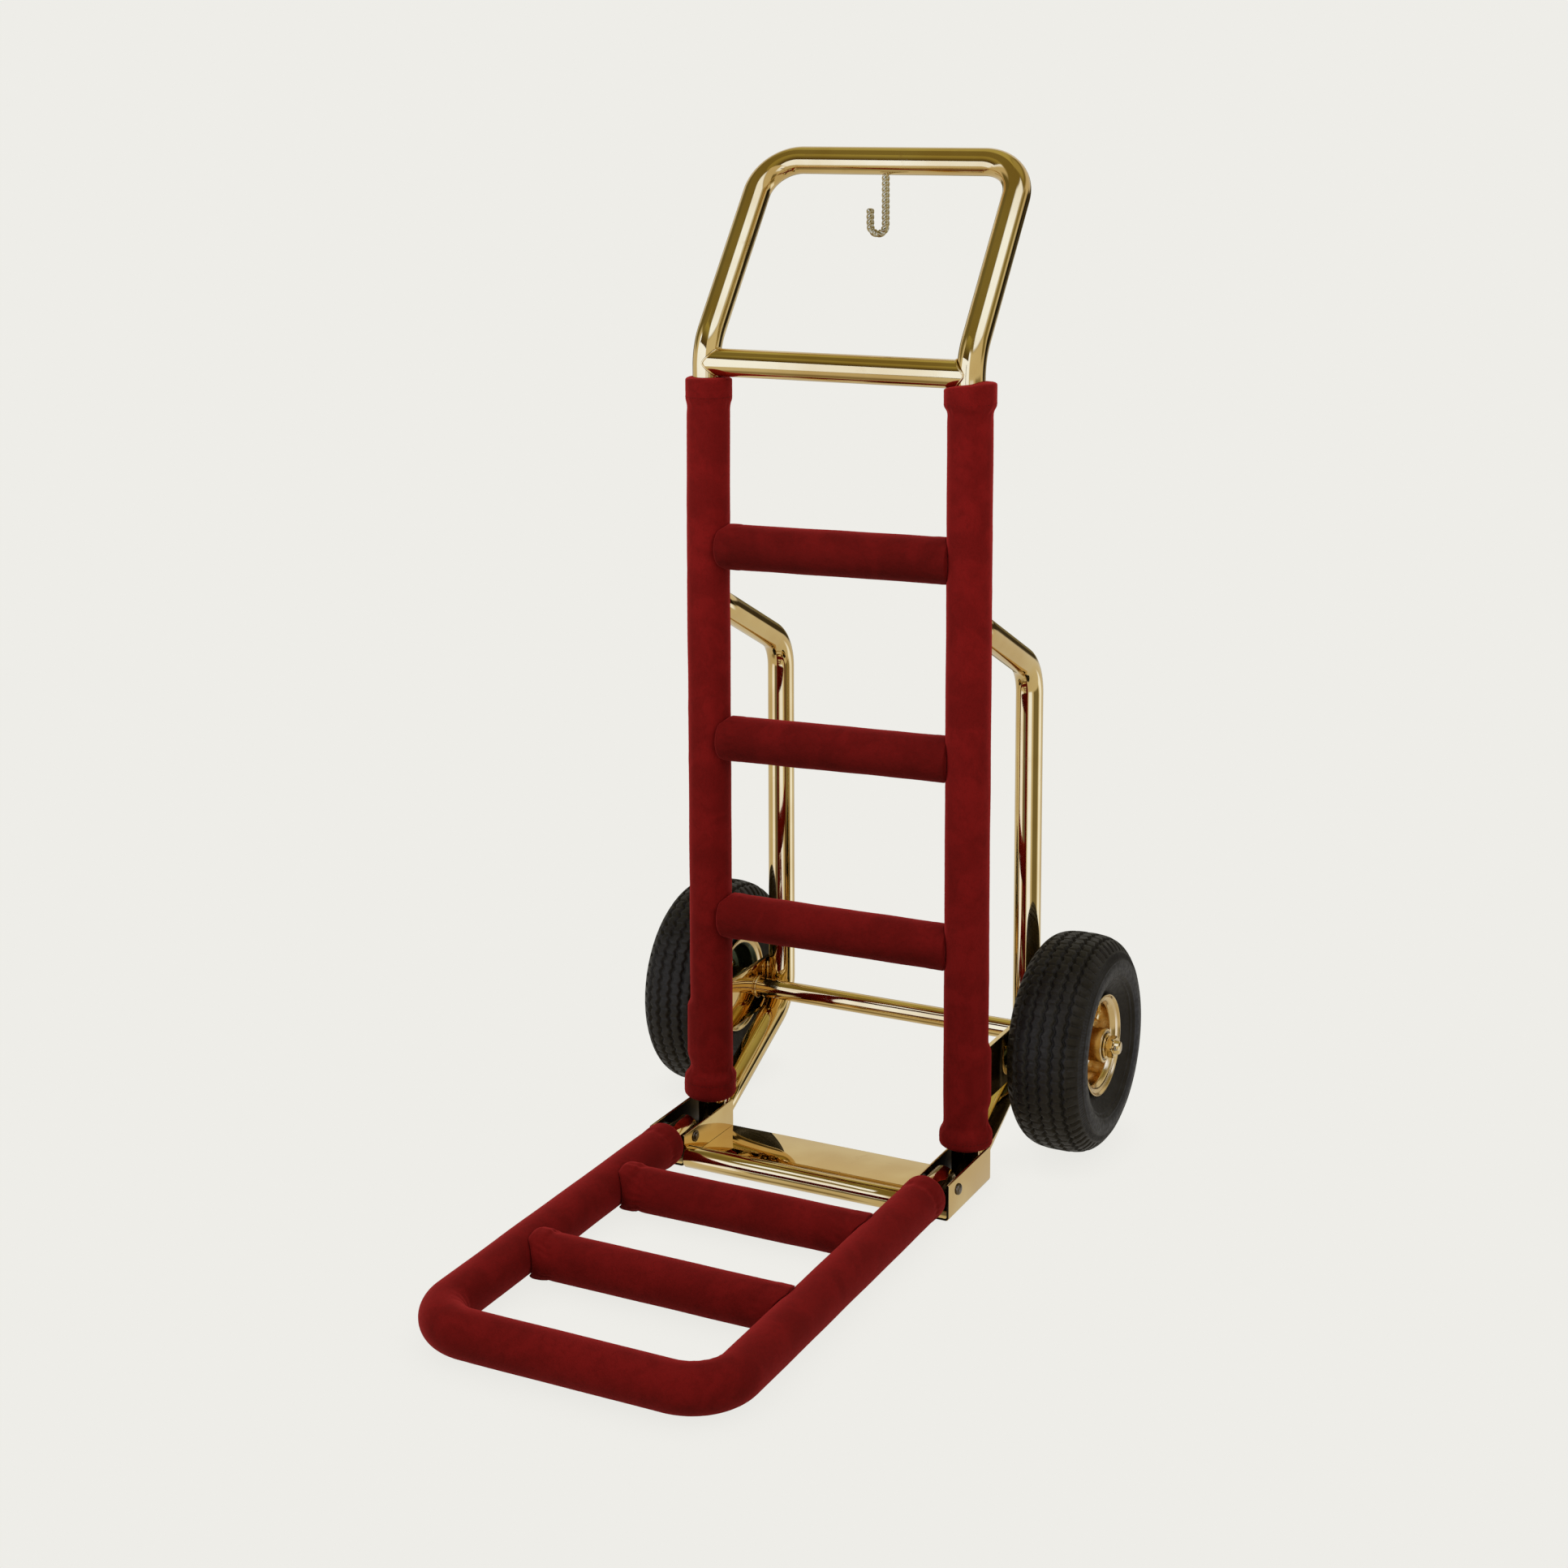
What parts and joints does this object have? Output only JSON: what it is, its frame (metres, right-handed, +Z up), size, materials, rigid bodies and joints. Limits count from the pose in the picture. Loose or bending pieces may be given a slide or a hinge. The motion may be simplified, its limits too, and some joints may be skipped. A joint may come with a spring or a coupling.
{
  "type": "hotel luggage cart",
  "caption": "Two-wheeled hotel luggage cart: bent brass tube frame with leaning handle and coat hook, velvet-sleeved uprights and rungs, pneumatic wheels and a padded toe frame that folds up.",
  "frame": {"origin": "on the floor, midway between the two uprights, in the plane of the uprights' axes", "axes": "+Z up, -Y towards the front (the toe frame), +X to the cart's left as it is seen from behind, that is to the viewer's right when facing the cart"},
  "size_m": [0.584, 0.9055, 1.1614],
  "materials": {
    "brass": "mirror-polished brass plate over steel tube and sheet",
    "velvet": "deep red short-pile velvet over a foam pipe",
    "tyre_rubber": "matt black moulded tyre rubber",
    "tube_rubber": "smooth black butyl rubber",
    "steel": "zinc-plated steel",
    "nylon": "black nylon"
  },
  "bodies": {
    "frame": {"axle_nut_left": "brass", "axle_nut_right": "brass", "axle_plate_left": "brass", "axle_plate_right": "brass", "axle_rod": "steel", "axle_spacer_left": "brass", "axle_spacer_right": "brass", "axle_tube": "brass", "axle_washer_left": "brass", "axle_washer_right": "brass", "base_front_tube": "brass", "base_plate": "brass", "foot_channel_left": "brass", "foot_channel_right": "brass", "frame_tube": "brass", "garment_hook": "brass", "handle_crossbar": "brass", "hinge_clip_left": "steel", "hinge_clip_right": "steel", "hinge_pin_left": "steel", "hinge_pin_right": "steel", "hinge_washer_left_inner": "nylon", "hinge_washer_left_outer": "nylon", "hinge_washer_right_inner": "nylon", "hinge_washer_right_outer": "nylon", "rear_tube_left": "brass", "rear_tube_right": "brass", "rung_bottom": "brass", "rung_middle": "brass", "rung_sleeve_bottom": "velvet", "rung_sleeve_middle": "velvet", "rung_sleeve_top": "velvet", "rung_top": "brass", "upright_sleeve_left": "velvet", "upright_sleeve_right": "velvet"},
    "toe_frame": {"toe_crossbar_front": "brass", "toe_crossbar_rear": "brass", "toe_crossbar_sleeve_front": "velvet", "toe_crossbar_sleeve_rear": "velvet", "toe_sleeve": "velvet", "toe_tube": "brass"},
    "wheel_left": {"bearing_inner_left": "steel", "bearing_outer_left": "steel", "hub_left": "brass", "inner_tube_left": "tube_rubber", "rim_inner_left": "brass", "rim_outer_left": "brass", "tyre_left": "tyre_rubber", "valve_stem_left": "brass"},
    "wheel_right": {"bearing_inner_right": "steel", "bearing_outer_right": "steel", "hub_right": "brass", "inner_tube_right": "tube_rubber", "rim_inner_right": "brass", "rim_outer_right": "brass", "tyre_right": "tyre_rubber", "valve_stem_right": "brass"}
  },
  "joints": [
    {"name": "toe_fold", "type": "hinge", "parent": "frame", "child": "toe_frame", "pos_m": [0, -0.08, 0.027], "axis": [-1, 0, 0], "range_deg": [0, 93]},
    {"name": "wheel_left_spin", "type": "hinge", "parent": "frame", "child": "wheel_left", "pos_m": [-0.237, 0.154, 0.126], "axis": [1, 0, 0], "continuous": true},
    {"name": "wheel_right_spin", "type": "hinge", "parent": "frame", "child": "wheel_right", "pos_m": [0.237, 0.154, 0.126], "axis": [1, 0, 0], "continuous": true}
  ]
}
